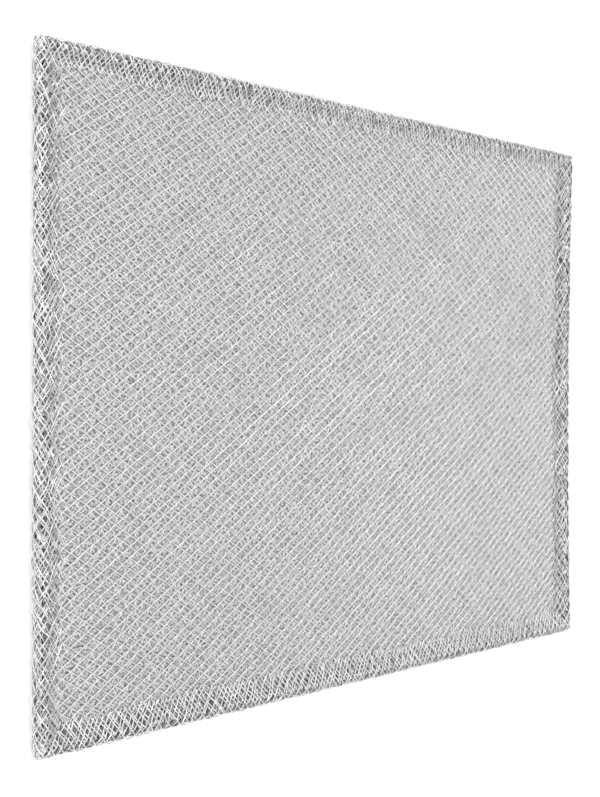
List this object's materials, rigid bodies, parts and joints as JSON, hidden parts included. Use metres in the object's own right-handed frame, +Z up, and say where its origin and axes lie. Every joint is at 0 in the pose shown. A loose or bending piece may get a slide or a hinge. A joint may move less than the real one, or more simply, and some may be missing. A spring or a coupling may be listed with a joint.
{
  "type": "cooker hood grease filter",
  "caption": "Flat rectangular grease filter for a cooker hood: crossed sheets of expanded aluminium diamond mesh, held by an outer mesh with rolled edges and hems folded over the front.",
  "frame": {"origin": "middle of the underside, on the surface that the filter lies on", "axes": "+X along the length, +Y along the width, +Z up out of the front face"},
  "size_m": [0.32, 0.25, 0.0076],
  "materials": {
    "aluminium_mesh": "bare expanded foil, semi-bright"
  },
  "bodies": {
    "root": {"outer_mesh": "aluminium_mesh", "front_mesh": "aluminium_mesh", "inner_mesh_1": "aluminium_mesh", "inner_mesh_2": "aluminium_mesh"}
  },
  "joints": []
}
